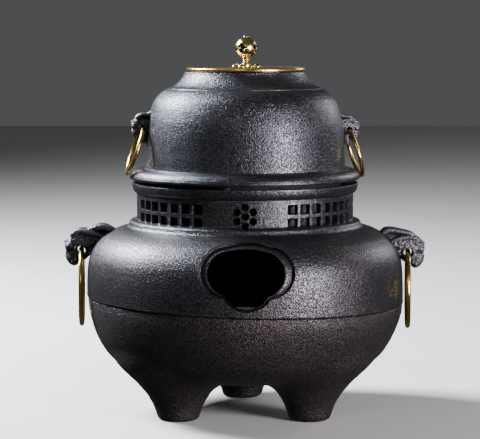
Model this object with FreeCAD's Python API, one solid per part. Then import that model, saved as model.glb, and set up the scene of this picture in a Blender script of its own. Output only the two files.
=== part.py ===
import FreeCAD, Part
import math, os
from FreeCAD import Vector as V

# Cast-iron charcoal brazier with a seated kettle.  Millimetres, +Z up, origin on the
# vertical axis at the plane the three feet stand on.  Front (fire window) faces -Y.

# ---- driving dimensions -------------------------------------------------------------
belly_r = 160.0            # largest outer radius
wall = 5.0                 # casting wall
seam_z = 116.0             # joint between lower bowl and upper shell
floor_z = 45.0             # inside floor of the bowl
foot_at = [(-66.2, -50.4), (64.2, -50.6), (-3.0, 84.0)]   # foot centres
foot_flat_r = 16.5
collar_r = 109.2           # pierced collar
collar_in_r = 103.2
collar_z0, collar_z1 = 196.2, 222.8
ring_r = 113.5             # top ring of the brazier
mouth_r = 99.5
ring_top_z = 232.0
col_pitch = 7.25           # lattice: degrees between columns
col_first = 25.0
sq_w, row_a, row_b = 10.4, (196.8, 205.2), (209.0, 218.2)
petal_d, petal_pitch, flower_z = 7.5, 9.0, 207.6
win_dx = 1.0               # fire window centre
nib_h = 4.7                # seat nibs carry the kettle clear of the ring
flange_r = 115.8
flange_z = 237.0
kettle_turn = 7.5          # the kettle stands turned in its seat
lug_half = 11.0            # brazier lug half thickness
lug_hole_r = 4.5
blug = {"right": (165.0, 162.2), "left": (165.6, 164.6)}
washer_at = 8.5              # along the tang, from the shell's outer face
bring_wire, bring_R, bring_off = 2.5, 38.0, 0.8
klug_half = 9.0
klug_hole_r = 3.6
klug = {"right": (105.4, 285.2), "left": (103.4, 288.6)}
kring_wire, kring_R, kring_off = 2.0, 24.5, 0.7
klean = {"right": 16.5, "left": 18.8}
lid_r, lid_z0, lid_z1 = 59.8, 344.8, 348.6
lid_dx = 1.0               # the lid sits a little off centre in its seat
knob_r, knob_z = 11.0, 368.4

os.makedirs("parts", exist_ok=True)
NODES = {}


def edge(pts):
    if len(pts) == 2:
        return Part.makeLine(V(pts[0][0], 0, pts[0][1]), V(pts[1][0], 0, pts[1][1]))
    c = Part.BSplineCurve()
    c.interpolate([V(r, 0, z) for r, z in pts])
    return c.toShape()


def revolve(segs):
    # segs: point lists that share end points; the profile is closed by a straight line
    edges = [edge(s) for s in segs]
    a, b = segs[-1][-1], segs[0][0]
    if math.hypot(a[0] - b[0], a[1] - b[1]) > 1e-6:
        edges.append(edge([a, b]))
    f = Part.Face(Part.Wire(edges))
    s = f.revolve(V(0, 0, 0), V(0, 0, 1), 360)
    if s.Volume < 0:
        s.reverse()
    return Part.Solid(s) if s.ShapeType != "Solid" else s


def cyl(r, h, base, axis=V(0, 0, 1)):
    return Part.makeCylinder(r, h, base, axis)


def turned(s, deg):
    t = s.copy()
    t.rotate(V(0, 0, 0), V(0, 0, 1), deg)
    return t


def one(s):
    # the single solid of a boolean result
    sol = sorted(s.Solids, key=lambda q: -q.Volume)
    return sol[0]


def capsule(a, b, r):
    d = b.sub(a)
    s = cyl(r, d.Length, a, d)
    return s.fuse([Part.makeSphere(r, a), Part.makeSphere(r, b)])


# ---- lower bowl with three cast feet --------------------------------------------------
bowl_out = [(0, 38), (30, 38), (60, 38.2), (85, 39.8), (100, 42.4), (112, 45.9), (122.5, 50.2),
            (131.6, 55.4), (139, 61.8), (144.1, 68.9), (148.3, 76), (151.7, 83.3), (154.6, 91),
            (157.1, 99.5), (158.9, 107.5), (159.7, 116)]
bowl_in = [(150.8, 104), (148.8, 95), (145.3, 85), (139.8, 75.5), (132.5, 67), (123.5, 60),
           (113, 54.5), (101, 50), (86, 46.5), (70, 45.2), (60, floor_z)]
bowl = revolve([[(0, 38), (30, 38)], bowl_out[1:], [(159.7, seam_z), (0, seam_z)]])
foot_prof = [(21.4, 5), (22.7, 9), (24.9, 14.6), (28.0, 20.6), (31.8, 26.5), (36.6, 32.3),
             (41.6, 38), (48.2, 45), (54, 51.5), (57.2, 56.5), (58.6, 62), (58.8, 67)]
foot = revolve([[(0, 0), (foot_flat_r, 0)], [(foot_flat_r, 0), (19.6, 1.6), (21.4, 5)],
                foot_prof, [(58.8, 67), (0, 67)]])
feet = []
for x, y in foot_at:
    f = foot.copy()
    f.translate(V(x, y, 0))
    feet.append(f)
bowl = bowl.fuse(feet)
tongue = revolve([[(150.8, 110), (154.7, 110)], [(154.7, 110), (154.7, seam_z + 6)],
                  [(154.7, seam_z + 6), (150.8, seam_z + 6)]])
bowl = bowl.fuse(tongue)
hollow = revolve([[(0, floor_z), (60, floor_z)], bowl_in[::-1], [(150.8, 104), (150.8, 130)],
                  [(150.8, 130), (0, 130)]])
bowl = bowl.cut(hollow)
NODES["brazier_lower_bowl"] = one(bowl)

# ---- upper shell ------------------------------------------------------------------------
shoulder = [(160.0, seam_z), (160, 119.6), (160, 129.8), (159.5, 142), (158.5, 151.1),
            (157.0, 158.7), (154.4, 165.5), (150.6, 171.6), (146, 176.6), (140.4, 181),
            (131, 185.8), (121.5, 188.8)]
torus = [(121.5, 188.8), (118.3, 190.3), (116.9, 192.8), (115.6, 195.2), (112.6, 196.2),
         (collar_r, collar_z0)]
top_ring = [(collar_r, collar_z1), (111.9, 223.4), (113.3, 225.3), (ring_r, 227.6),
            (113.3, 230), (112, 231.6), (110.3, ring_top_z)]
inner = [(collar_in_r, 196), (106.5, 189.5), (113, 185.3), (122, 182.6), (131, 178.9), (138, 174.2),
         (143.4, 168.8), (147.6, 162), (150.4, 154), (152.4, 144), (154.2, 130), (154.9, 124)]
shell = revolve([shoulder, torus, [torus[-1], (collar_r, collar_z1)], top_ring,
                 [top_ring[-1], (mouth_r + 1.5, ring_top_z)],
                 [(mouth_r + 1.5, ring_top_z), (mouth_r, ring_top_z - 1.5)],
                 [(mouth_r, ring_top_z - 1.5), (mouth_r, 224.5)],
                 [(mouth_r, 224.5), (collar_in_r, 221.5)],
                 [(collar_in_r, 221.5), (collar_in_r, 196)], inner,
                 [(154.9, 124), (154.9, seam_z)]])
body_out = revolve([[(0, seam_z), (160, seam_z)], shoulder,
                    [(121.5, 188.8), (110, 188.9)], [(110, 188.9), (0, 188.9)]])

# fire window: four-lobed; a draught opening whose edge draws inward through the wall


def lobed(top, side, cz, bot, tc, bc, y):
    # top/bottom heights, half width, height of widest point, upper and lower cusps
    P = lambda x, z: V(x + win_dx, y, z)
    e = [Part.Arc(P(-tc[0], tc[1]), P(0, top), P(*tc)).toShape(),
         Part.Arc(P(*tc), P(side, cz), P(*bc)).toShape(),
         Part.Arc(P(*bc), P(0, bot), P(-bc[0], bc[1])).toShape(),
         Part.Arc(P(-bc[0], bc[1]), P(-side, cz), P(-tc[0], tc[1])).toShape()]
    return Part.Wire(e)


outer_line = lobed(185.8, 46.0, 160.2, 121.9, (22.0, 182.2), (22.2, 134.2), -172.0)
inner_line = lobed(179.4, 36.6, 158.0, 124.2, (21.4, 176.6), (21.2, 136.9), -138.0)
win = Part.makeLoft([outer_line, inner_line], True, True)
shell = shell.cut(win)
shell = shell.cut(Part.Face(inner_line).extrude(V(0, 40, 0)))

# pierced collar: squares in two rows, and flowers of seven round holes
tools = []
for side in (-90, 90):
    for sg in (-1, 1):
        for k in range(7):
            a = side + sg * (col_first + col_pitch * k)
            for z0, z1 in (row_a, row_b):
                b = Part.makeBox(20, sq_w, z1 - z0, V(97, -sq_w / 2, z0))
                tools.append(turned(b, a))
for a in (-90, 0, 90, 180):
    cs = [(0, 0)] + [(petal_pitch * math.sin(math.radians(60 * k)),
                      petal_pitch * math.cos(math.radians(60 * k))) for k in range(6)]
    for u, w in cs:
        c = cyl(petal_d / 2, 20, V(97, 0, flower_z + w), V(1, 0, 0))
        tools.append(turned(c, a + math.degrees(u / collar_r)))
shell = shell.cut(tools)
nibs = []
for a in (-90 - 9, -90 - 9 + 120, -90 - 9 + 240):
    b = Part.makeBox(5.0, 6.0, nib_h + 0.6, V(106.2, -3.0, ring_top_z - 0.6))
    nibs.append(turned(b, a))
shell = shell.fuse(nibs)

# ---- brazier lugs: beast heads, one outline for both --------------------------------------
lug_line = [(130, 180), (133.5, 184.6), (140, 187.4), (150, 188.4), (158, 187.0), (166, 184.8),
            (172.4, 181.6), (175.6, 177.6), (178.2, 173.6), (181.6, 171.2), (182.9, 167.8),
            (181.6, 163.9), (177.6, 161.4), (178.9, 158.2), (178.4, 152.8), (175.2, 148.0),
            (170.6, 145.0), (166.8, 146.0), (162.5, 151.6), (156, 156.0), (150, 157.0)]
stud_n = V(0.823, 0, 0.569)
stud_p = V(150.3, 0, 171.4)


def brazier_lug(hx, hz):
    dx, dz = hx - 165.0, hz - 162.2
    c = Part.BSplineCurve()
    c.interpolate([V(x + dx, -lug_half, z + dz) for x, z in lug_line])
    e = c.toShape()
    last = V(lug_line[-1][0] + dx, -lug_half, lug_line[-1][1] + dz)
    first = V(lug_line[0][0] + dx, -lug_half, lug_line[0][1] + dz)
    w = Part.Wire([e, Part.makeLine(last, first)])
    s = Part.Face(w).extrude(V(0, 2 * lug_half, 0))
    add = []
    for y in (-1, 1):
        add.append(Part.makeSphere(4.4, V(170.5 + dx, y * 9.6, 172.0 + dz)))
        add.append(Part.makeSphere(3.6, V(178.6 + dx, y * 5.0, 168.4 + dz)))
        add.append(capsule(V(146 + dx, y * 11.0, 182.2 + dz), V(164 + dx, y * 9.6, 180.4 + dz), 4.6))
        add.append(capsule(V(164 + dx, y * 9.6, 180.4 + dz), V(173.2 + dx, y * 7.5, 176.6 + dz), 3.6))
    add.append(cyl(7.6, 2 * lug_half + 1.6, V(hx, -lug_half - 0.8, hz), V(0, 1, 0)))
    s = s.fuse(add)
    s = s.cut(cyl(lug_hole_r, 60, V(hx, -30, hz), V(0, 1, 0)))
    s = s.cut(body_out)
    s = one(s)
    tang = cyl(3.0, 17.6, stud_p.add(V(stud_n).multiply(2.0)), V(stud_n).multiply(-1))
    return one(s.fuse(tang))


tang_hole = cyl(3.3, 30, stud_p.add(V(stud_n).multiply(8.0)), V(stud_n).multiply(-1))


def hexnut(flat, hole, h):
    R = flat / math.sqrt(3)
    p = [V(R * math.cos(math.radians(60 * k)), R * math.sin(math.radians(60 * k)), 0) for k in range(7)]
    n = Part.Face(Part.makePolygon(p)).extrude(V(0, 0, h))
    return n.cut(cyl(hole, h + 2, V(0, 0, -1)))


def along(s, base, axis):
    t = s.copy()
    t.Placement = FreeCAD.Placement(base, FreeCAD.Rotation(V(0, 0, 1), axis))
    return t


def mirror_x(s):
    return s.mirror(V(0, 0, 0), V(1, 0, 0))


shell = shell.cut([tang_hole, mirror_x(tang_hole)])
NODES["brazier_upper_shell"] = one(shell)
NODES["brazier_lug_right"] = brazier_lug(*blug["right"])
NODES["brazier_lug_left"] = mirror_x(brazier_lug(*blug["left"]))
inward = V(stud_n).multiply(-1)
wp = stud_p.add(V(inward).multiply(washer_at))
washer = along(cyl(7.0, 1.4, V(0, 0, 0)).cut(cyl(3.15, 4, V(0, 0, -1))), wp, inward)
nut = along(hexnut(10.0, 3.02, 5.0), wp.add(V(inward).multiply(1.4)), inward)
NODES["brazier_lug_washers"] = Part.makeCompound([washer, mirror_x(washer)])
NODES["brazier_lug_nuts"] = Part.makeCompound([nut, mirror_x(nut)])

# cement bead that joins the two castings, laid on the tongue inside the shell
NODES["seam_cement"] = revolve([[(150.9, 122.0), (154.7, 122.0)], [(154.7, 122.0), (154.3, 126.5)],
                                [(154.3, 126.5), (152.5, 125.6), (151.3, 123.8), (150.9, 122.0)]])

# ---- rings -------------------------------------------------------------------------------


def ring(hx, hz, R, wire, off, lean):
    # hangs from the hole at (hx, hz); lean tips its foot outward
    t = Part.makeTorus(R, wire, V(hx, 0, hz + off - R), V(1, 0, 0))
    t.rotate(V(hx, 0, hz), V(0, 1, 0), -lean)
    return t


r = ring(blug["right"][0], blug["right"][1], bring_R, bring_wire, bring_off, 0)
NODES["brazier_ring_right"] = r
NODES["brazier_ring_left"] = mirror_x(ring(blug["left"][0], blug["left"][1], bring_R, bring_wire, bring_off, 0))

# ---- charcoal pan and grate -----------------------------------------------------------------
pan = revolve([[(0, 52), (66, 52)], [(66, 52), (66, 45.3)], [(66, 45.3), (71, 45.3)],
               [(71, 45.3), (72, 52), (77, 60), (84, 73), (89.5, 84), (92.5, 92)],
               [(92.5, 92), (88.2, 92)], [(88.2, 92), (85.4, 84.5)], [(85.4, 84.5), (83.2, 80)],
               [(83.2, 80), (79.5, 80)], [(79.5, 80), (72, 64.5), (67, 57.2), (62, 56.5)],
               [(62, 56.5), (0, 56.5)]])
NODES["charcoal_pan"] = pan
grate = cyl(82.4, 5.0, V(0, 0, 80.3))
slots = []
for k in range(-4, 5):
    x = k * 15.5
    h = math.sqrt(74.0 ** 2 - x * x)
    for y0, y1 in ((-h, -4.0), (4.0, h)):
        if y1 - y0 > 12:
            b = Part.makeBox(8.0, y1 - y0 - 8, 12, V(x - 4.0, y0 + 4, 77))
            slots.append(b.fuse([cyl(4.0, 12, V(x, y0 + 4, 77)), cyl(4.0, 12, V(x, y1 - 4, 77))]))
NODES["charcoal_grate"] = one(grate.cut(slots))

# ---- kettle -----------------------------------------------------------------------------------
k_wall = [(101.0, 248.6), (100.9, 252), (100.8, 257), (100.3, 265.7), (99.7, 275.8), (99.1, 285.9),
          (97.6, 295.9), (95.3, 305.0), (93.0, 311.5), (90.2, 316.8), (86.6, 321.2), (82.6, 324.6),
          (78.6, 327.0)]
k_neck = [(76.6, 328.1), (74.0, 328.9), (70.8, 330.6), (66.8, 334.0), (63.4, 338.2), (61.0, 342.0),
          (60.2, 344.5)]
k_low = [(97.0, 232.0), (96.2, 215), (94.8, 200), (92.6, 188), (90, 180), (88.0, 175.0)]
flange_top = [(flange_r - 0.5, 240.6), (113.4, 244.0), (111.0, 246.0), (107.4, 247.2), (103.4, 248.0),
              (101.0, 248.6)]
kettle = revolve([
    [(0, 176.5), (83.0, 176.5)], [(83.0, 176.5), (83.4, 170.4)], [(83.4, 170.4), (87.2, 170.4)],
    [(87.2, 170.4), (88.0, 175.0)], k_low[::-1], [(97.0, 232.0), (97.6, 236.0), (99.5, flange_z)],
    [(99.5, flange_z), (flange_r - 0.8, flange_z)],
    [(flange_r - 0.8, flange_z), (flange_r, 238.4), (flange_r - 0.5, 240.6)],
    flange_top, k_wall, [(78.6, 327.0), (77.6, 327.1), (76.6, 328.1)], k_neck,
    [(60.2, 344.5), (56.2, 344.5)],
    [(56.2, 344.5), (56.2, 337.6)],
    [(56.2, 337.6), (61.5, 333.0), (68.0, 327.0), (76.5, 322.6), (85.0, 315.6), (90.4, 307.0),
     (93.4, 297.0), (95.3, 285.0), (96.2, 268.0), (96.7, 252.0), (95.4, 240.0), (93.0, 230.0),
     (91.6, 212.0), (89.6, 197.0), (86.0, 187.0), (80.0, 182.0), (70.0, 180.5)],
    [(70.0, 180.5), (0, 180.5)], [(0, 180.5), (0, 176.5)]])
NODES["kettle_body"] = kettle
k_solid = revolve([[(0, 250.0), (101.0, 250.0)], [(101.0, 250.0)] + k_wall[1:], [(78.6, 327.0), (0, 327.0)]])

klug_line = [(90, 302.0), (96, 303.4), (101.0, 300.6), (105.6, 299.6), (109.6, 298.0), (112.2, 294.6),
             (115.4, 293.4), (117.4, 290.4), (116.2, 287.0), (113.2, 285.2), (114.2, 282.4),
             (113.6, 279.2), (110.6, 277.2), (107.4, 277.6), (104.8, 274.6), (101.6, 271.4), (90, 271.0)]


def kettle_lug(hx, hz):
    dx, dz = hx - 105.4, hz - 285.2
    c = Part.BSplineCurve()
    pts = [V(x + (dx if x > 92 else 0), -klug_half, z + dz) for x, z in klug_line]
    c.interpolate(pts)
    w = Part.Wire([c.toShape(), Part.makeLine(pts[-1], pts[0])])
    s = Part.Face(w).extrude(V(0, 2 * klug_half, 0))
    add = []
    for y in (-1, 1):
        add.append(Part.makeSphere(2.8, V(106.6 + dx, y * 7.8, 292.4 + dz)))
        add.append(Part.makeSphere(2.3, V(114.6 + dx, y * 3.6, 290.2 + dz)))
        add.append(capsule(V(99 + dx, y * 8.4, 297.4 + dz), V(107.6 + dx, y * 6.6, 296.8 + dz), 2.6))
    add.append(cyl(5.6, 2 * klug_half + 1.0, V(hx, -klug_half - 0.5, hz), V(0, 1, 0)))
    s = s.fuse(add).cut(cyl(klug_hole_r, 50, V(hx, -25, hz), V(0, 1, 0)))
    return one(s.cut(k_solid))


kl_r = kettle_lug(*klug["right"])
kl_l = mirror_x(kettle_lug(*klug["left"]))
NODES["kettle_lug_right"] = turned(kl_r, kettle_turn)
NODES["kettle_lug_left"] = turned(kl_l, kettle_turn)
kr_r = ring(klug["right"][0], klug["right"][1], kring_R, kring_wire, kring_off, klean["right"])
kr_l = mirror_x(ring(klug["left"][0], klug["left"][1], kring_R, kring_wire, kring_off, klean["left"]))
NODES["kettle_ring_right"] = turned(kr_r, kettle_turn)
NODES["kettle_ring_left"] = turned(kr_l, kettle_turn)

# ---- lid and knob -----------------------------------------------------------------------------
NODES["lid_disc"] = revolve([
    [(1.6, 341.6), (48, 341.6)], [(48, 341.6), (49.4, 337.4)], [(49.4, 337.4), (54.4, 337.4)],
    [(54.4, 337.4), (54.6, 343.2)], [(54.6, 343.2), (54.6, lid_z0)], [(54.6, lid_z0), (58.8, lid_z0)],
    [(58.8, lid_z0), (lid_r, 345.9), (lid_r, 347.4), (58.8, lid_z1)],
    [(58.8, lid_z1), (56.4, lid_z1)], [(56.4, lid_z1), (55.8, 348.0)], [(55.8, 348.0), (40, 348.4)],
    [(40, 348.4), (1.6, 348.7)]])
# rosette: eight petals around a raised boss
ros = revolve([[(1.6, 348.8), (8.6, 348.8)], [(8.6, 348.8), (8.2, 350.8), (6.0, 352.5), (3.4, 353.2)],
               [(3.4, 353.2), (1.6, 353.2)]])
pet = []
for k in range(8):
    a = math.radians(45 * k + 22.5)
    p = Part.makeSphere(4.3)
    m = FreeCAD.Matrix()
    m.scale(1.0, 0.86, 0.62)
    p = p.transformGeometry(m)
    p.translate(V(9.9, 0, 349.6))
    p = turned(p, 45 * k + 22.5)
    pet.append(p)
cut_low = Part.makeBox(60, 60, 10, V(-30, -30, 338.8))
ros = ros.fuse(pet).cut([cut_low, cyl(1.6, 20, V(0, 0, 340))])
NODES["knob_rosette"] = one(ros)
NODES["knob_neck"] = revolve([[(1.6, 353.3), (2.6, 353.3)],
                              [(2.6, 353.3), (3.5, 354.4), (2.7, 355.6)],
                              [(2.7, 355.6), (3.4, 356.6), (3.0, 357.4)],
                              [(3.0, 357.4), (1.6, 357.4)]])
ball = Part.makeSphere(knob_r, V(0, 0, knob_z)).cut(Part.makeSphere(knob_r - 2.0, V(0, 0, knob_z)))
hol = []
for k in range(4):
    d = 5.2
    q = []
    for j in range(4):
        a0 = math.radians(90 * j)
        a1 = math.radians(90 * j + 45)
        q.append(V(0, d * math.cos(a0), d * math.sin(a0) * 1.1))
        q.append(V(0, 0.56 * d * math.cos(a1), 0.56 * d * math.sin(a1) * 1.1))
    q.append(q[0])
    h = Part.Face(Part.makePolygon(q)).extrude(V(20, 0, 0))
    h.translate(V(0, 0, knob_z))
    hol.append(turned(h, -90 - 40 + 90 * k))
core = cyl(3.2, 24, V(0, 0, knob_z - 12))
ball = ball.cut(hol).fuse(core.common(Part.makeSphere(knob_r - 0.4, V(0, 0, knob_z))))
ball = ball.cut(cyl(1.6, 40, V(0, 0, knob_z - 20)))
ball = ball.cut(Part.makeBox(30, 30, 6, V(-15, -15, 351.5)))
ball = ball.cut(Part.makeBox(30, 30, 6, V(-15, -15, 379.0)))
NODES["knob_ball"] = one(ball)
NODES["knob_pin"] = cyl(1.5, 378.6 - 333.0, V(0, 0, 333.0))
NODES["knob_finial"] = revolve([[(0, 379.1), (3.0, 379.1)],
                                [(3.0, 379.1), (2.9, 379.6), (2.1, 380.4), (1.0, 381.0), (0.5, 381.2)],
                                [(0.5, 381.2), (0, 381.2)], [(0, 381.2), (0, 379.1)]])
NODES["lid_washer"] = cyl(5.0, 1.0, V(0, 0, 340.6)).cut(cyl(1.6, 4, V(0, 0, 339)))
NODES["lid_nut"] = along(hexnut(6.0, 1.52, 3.0), V(0, 0, 337.6), V(0, 0, 1))

for name in ("lid_disc", "knob_rosette", "knob_neck", "knob_ball", "knob_pin", "knob_finial",
             "lid_washer", "lid_nut"):
    NODES[name].translate(V(lid_dx, 0, 0))

for name in sorted(NODES):
    s = NODES[name]
    s.exportStep("parts/%s.step" % name)
    b = s.BoundBox
    print("%-22s vol %9.1f  solids %d valid %s  x %.1f..%.1f y %.1f..%.1f z %.1f..%.1f" % (
        name, s.Volume, len(s.Solids), s.isValid(), b.XMin, b.XMax, b.YMin, b.YMax, b.ZMin, b.ZMax))
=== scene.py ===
import bpy, bmesh, math
import numpy as np
from mathutils import Vector, Matrix


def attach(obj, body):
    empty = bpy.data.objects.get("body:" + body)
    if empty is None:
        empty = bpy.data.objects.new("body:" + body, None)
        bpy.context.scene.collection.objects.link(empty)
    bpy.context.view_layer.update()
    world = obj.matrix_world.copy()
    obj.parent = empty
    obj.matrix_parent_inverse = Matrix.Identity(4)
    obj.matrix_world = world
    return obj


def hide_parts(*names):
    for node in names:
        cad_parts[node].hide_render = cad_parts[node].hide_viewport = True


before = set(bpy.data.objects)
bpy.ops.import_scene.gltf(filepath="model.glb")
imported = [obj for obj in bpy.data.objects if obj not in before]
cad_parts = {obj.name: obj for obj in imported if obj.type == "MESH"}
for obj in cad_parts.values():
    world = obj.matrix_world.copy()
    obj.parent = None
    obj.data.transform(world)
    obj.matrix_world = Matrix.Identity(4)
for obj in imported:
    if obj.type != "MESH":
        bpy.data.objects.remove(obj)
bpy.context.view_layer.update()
MM = 0.001

# ------------------------------------------------------------------ noise and fields (mm)


def perlin(P, scale, seed=0):
    Q = np.asarray(P, dtype=np.float64) / scale + 37.7 + seed * 3.17
    I = np.floor(Q).astype(np.int64)
    F = Q - I
    W = F * F * F * (F * (F * 6 - 15) + 10)
    out = np.zeros(len(Q))
    for dx in (0, 1):
        for dy in (0, 1):
            for dz in (0, 1):
                ix, iy, iz = I[:, 0] + dx, I[:, 1] + dy, I[:, 2] + dz
                h = (ix * 73856093) ^ (iy * 19349663) ^ (iz * 83492791) ^ (seed * 7919 + 1013)
                h &= 0x7fffffff
                h = ((h ^ (h >> 13)) * 1274126177) & 0x7fffffff
                h ^= h >> 16
                gx = (h & 255) / 127.5 - 1
                gy = ((h >> 8) & 255) / 127.5 - 1
                gz = ((h >> 16) & 255) / 127.5 - 1
                d = gx * (F[:, 0] - dx) + gy * (F[:, 1] - dy) + gz * (F[:, 2] - dz)
                wx = W[:, 0] if dx else 1 - W[:, 0]
                wy = W[:, 1] if dy else 1 - W[:, 1]
                wz = W[:, 2] if dz else 1 - W[:, 2]
                out += d * wx * wy * wz
    return out * 1.2


def grain(P, scale=2.5, seed=1):
    # pear-skin: short wandering ridges, flattened on top
    P = np.asarray(P, dtype=np.float64)
    wx = perlin(P, scale * 2.2, seed + 11)
    wy = perlin(P, scale * 2.2, seed + 12)
    wz = perlin(P, scale * 2.2, seed + 13)
    Q = P + np.stack([wx, wy, wz], 1) * scale * 0.9
    a = perlin(Q, scale, seed)
    b = perlin(Q, scale * 0.62, seed + 5)
    v = a * 0.85 + b * 0.4
    return np.tanh(v * 3.4)


def smoothstep(a, b, x):
    t = np.clip((x - a) / (b - a), 0, 1)
    return t * t * (3 - 2 * t)


# ------------------------------------------------------------------ mesh helpers


def make_mesh(name, verts, faces, sharp=None):
    me = bpy.data.meshes.new(name)
    v = np.asarray(verts, dtype=np.float64) * MM
    if isinstance(faces, np.ndarray):
        nf, k = faces.shape
        me.vertices.add(len(v))
        me.vertices.foreach_set("co", v.astype(np.float32).ravel())
        me.loops.add(nf * k)
        me.loops.foreach_set("vertex_index", faces.astype(np.int32).ravel())
        me.polygons.add(nf)
        me.polygons.foreach_set("loop_start", np.arange(0, nf * k, k, dtype=np.int32))
        me.update(calc_edges=True)
        me.validate()
    else:
        me.from_pydata([tuple(p) for p in v], [], faces)
        me.update()
    me.shade_smooth()
    if sharp:
        me.set_sharp_from_angle(angle=math.radians(sharp))
    o = bpy.data.objects.new(name, me)
    bpy.context.scene.collection.objects.link(o)
    return o


def resample(pts, step):
    # points along a polyline at about the given step; corners given twice are kept
    pts = np.asarray(pts, dtype=float)
    out = [pts[0]]
    for a, b in zip(pts[:-1], pts[1:]):
        L = np.linalg.norm(b - a)
        n = max(1, int(round(L / step)))
        for k in range(1, n + 1):
            out.append(a + (b - a) * k / n)
    return np.array(out)


def curve(pts, n=8):
    # Catmull-Rom through the points
    P = [np.array(p, float) for p in pts]
    P = [2 * P[0] - P[1]] + P + [2 * P[-1] - P[-2]]
    out = []
    for i in range(1, len(P) - 2):
        p0, p1, p2, p3 = P[i - 1], P[i], P[i + 1], P[i + 2]
        for k in range(n):
            t = k / n
            out.append(0.5 * ((2 * p1) + (-p0 + p2) * t + (2 * p0 - 5 * p1 + 4 * p2 - p3) * t * t +
                              (-p0 + 3 * p1 - 3 * p2 + p3) * t ** 3))
    out.append(P[-2])
    return [tuple(p) for p in out]


def lathe(rows, seg):
    # rows: (n,2) closed profile in r,z, run so that the outside is on its right-hand side
    rows = np.asarray(rows)
    n = len(rows)
    a = np.arange(seg) * 2 * math.pi / seg
    R = rows[:, 0][:, None]
    V = np.stack([R * np.cos(a)[None, :], R * np.sin(a)[None, :],
                  np.repeat(rows[:, 1][:, None], seg, 1)], 2).reshape(-1, 3)
    i = np.arange(n)[:, None]
    j = np.arange(seg)[None, :]
    i2 = (i + 1) % n
    j2 = (j + 1) % seg
    i = np.broadcast_to(i, (n, seg)); j = np.broadcast_to(j, (n, seg))
    i2 = np.broadcast_to(i2, (n, seg)); j2 = np.broadcast_to(j2, (n, seg))
    F = np.stack([i * seg + j, i * seg + j2, i2 * seg + j2, i2 * seg + j], 2).reshape(-1, 4)
    return V, F


def lathe_normals(rows, seg):
    rows = np.asarray(rows)
    t = np.roll(rows, -1, 0) - np.roll(rows, 1, 0)
    nrm = np.stack([t[:, 1], -t[:, 0]], 1)
    nrm /= np.maximum(1e-9, np.linalg.norm(nrm, axis=1))[:, None]
    a = np.arange(seg) * 2 * math.pi / seg
    N = np.stack([nrm[:, 0][:, None] * np.cos(a)[None, :], nrm[:, 0][:, None] * np.sin(a)[None, :],
                  np.repeat(nrm[:, 1][:, None], seg, 1)], 2).reshape(-1, 3)
    return N


def disc_cap(rows, seg):
    # open profile from the axis to the axis: poles closed with fans
    rows = np.asarray(rows)
    n = len(rows)
    a = np.arange(seg) * 2 * math.pi / seg
    V = []
    for r, z in rows:
        V.append(np.stack([r * np.cos(a), r * np.sin(a), np.full(seg, z)], 1))
    V = np.concatenate(V)
    i = np.repeat(np.arange(n - 1), seg)
    j = np.tile(np.arange(seg), n - 1)
    j2 = (j + 1) % seg
    F = [tuple(q) for q in np.stack([i * seg + j, i * seg + j2, (i + 1) * seg + j2, (i + 1) * seg + j], 1)]
    F.append(tuple(range(seg))[::-1])
    F.append(tuple((n - 1) * seg + k for k in range(seg)))
    return V, F


def surface_net(f, lo, hi, h, project=3):
    lo = np.array(lo, float); hi = np.array(hi, float)
    n = np.ceil((hi - lo) / h).astype(int) + 1
    ax = [lo[k] + h * np.arange(n[k]) for k in range(3)]
    X, Y, Z = np.meshgrid(*ax, indexing="ij")
    P = np.stack([X.ravel(), Y.ravel(), Z.ravel()], 1)
    D = f(P).reshape(n)
    S = D < 0
    c = np.zeros(n - 1, dtype=int)
    for dx in (0, 1):
        for dy in (0, 1):
            for dz in (0, 1):
                c += S[dx:n[0] - 1 + dx, dy:n[1] - 1 + dy, dz:n[2] - 1 + dz]
    act = (c > 0) & (c < 8)
    idx = -np.ones(n - 1, dtype=np.int64)
    ijk = np.argwhere(act)
    idx[act] = np.arange(len(ijk))
    acc = np.zeros((len(ijk), 3)); cnt = np.zeros(len(ijk))
    corner = [(a, b, d) for a in (0, 1) for b in (0, 1) for d in (0, 1)]
    for A in corner:
        for k in range(3):
            if A[k] == 0:
                B = list(A); B[k] = 1
                da = D[ijk[:, 0] + A[0], ijk[:, 1] + A[1], ijk[:, 2] + A[2]]
                db = D[ijk[:, 0] + B[0], ijk[:, 1] + B[1], ijk[:, 2] + B[2]]
                m = (da < 0) != (db < 0)
                t = np.where(m, da / np.where(m, da - db, 1), 0)
                p = np.array(A, float)[None, :] + t[:, None] * (np.array(B) - np.array(A))[None, :]
                acc[m] += p[m]; cnt[m] += 1
    V = lo + (ijk + acc / cnt[:, None]) * h
    F = []
    for k in range(3):
        a, b = (k + 1) % 3, (k + 2) % 3
        sl0 = [slice(None)] * 3; sl1 = [slice(None)] * 3
        sl0[k] = slice(0, n[k] - 1); sl1[k] = slice(1, n[k])
        d0 = S[tuple(sl0)]; d1 = S[tuple(sl1)]
        e = np.argwhere(d0 != d1)
        e = e[(e[:, a] > 0) & (e[:, b] > 0) & (e[:, a] < n[a] - 1) & (e[:, b] < n[b] - 1)]
        ins = d0[e[:, 0], e[:, 1], e[:, 2]]
        q = []
        for (sa, sb) in ((-1, -1), (0, -1), (0, 0), (-1, 0)):
            w = e.copy(); w[:, a] += sa; w[:, b] += sb
            q.append(idx[w[:, 0], w[:, 1], w[:, 2]])
        q = np.stack(q, 1)
        q[~ins] = q[~ins][:, ::-1]
        F.append(q)
    F = np.concatenate(F)
    F = F[(F >= 0).all(1)]
    for _ in range(project):
        g = gradient(f, V, h * 0.25)
        d = f(V)
        gl = np.maximum(0.3, (g * g).sum(1))
        V = V - g * np.clip(d / gl, -h * 0.5, h * 0.5)[:, None]
    return V, F


def gradient(f, V, e):
    g = np.zeros_like(V)
    for k in range(3):
        o = np.zeros(3); o[k] = e
        g[:, k] = (f(V + o) - f(V - o)) / (2 * e)
    return g


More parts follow.
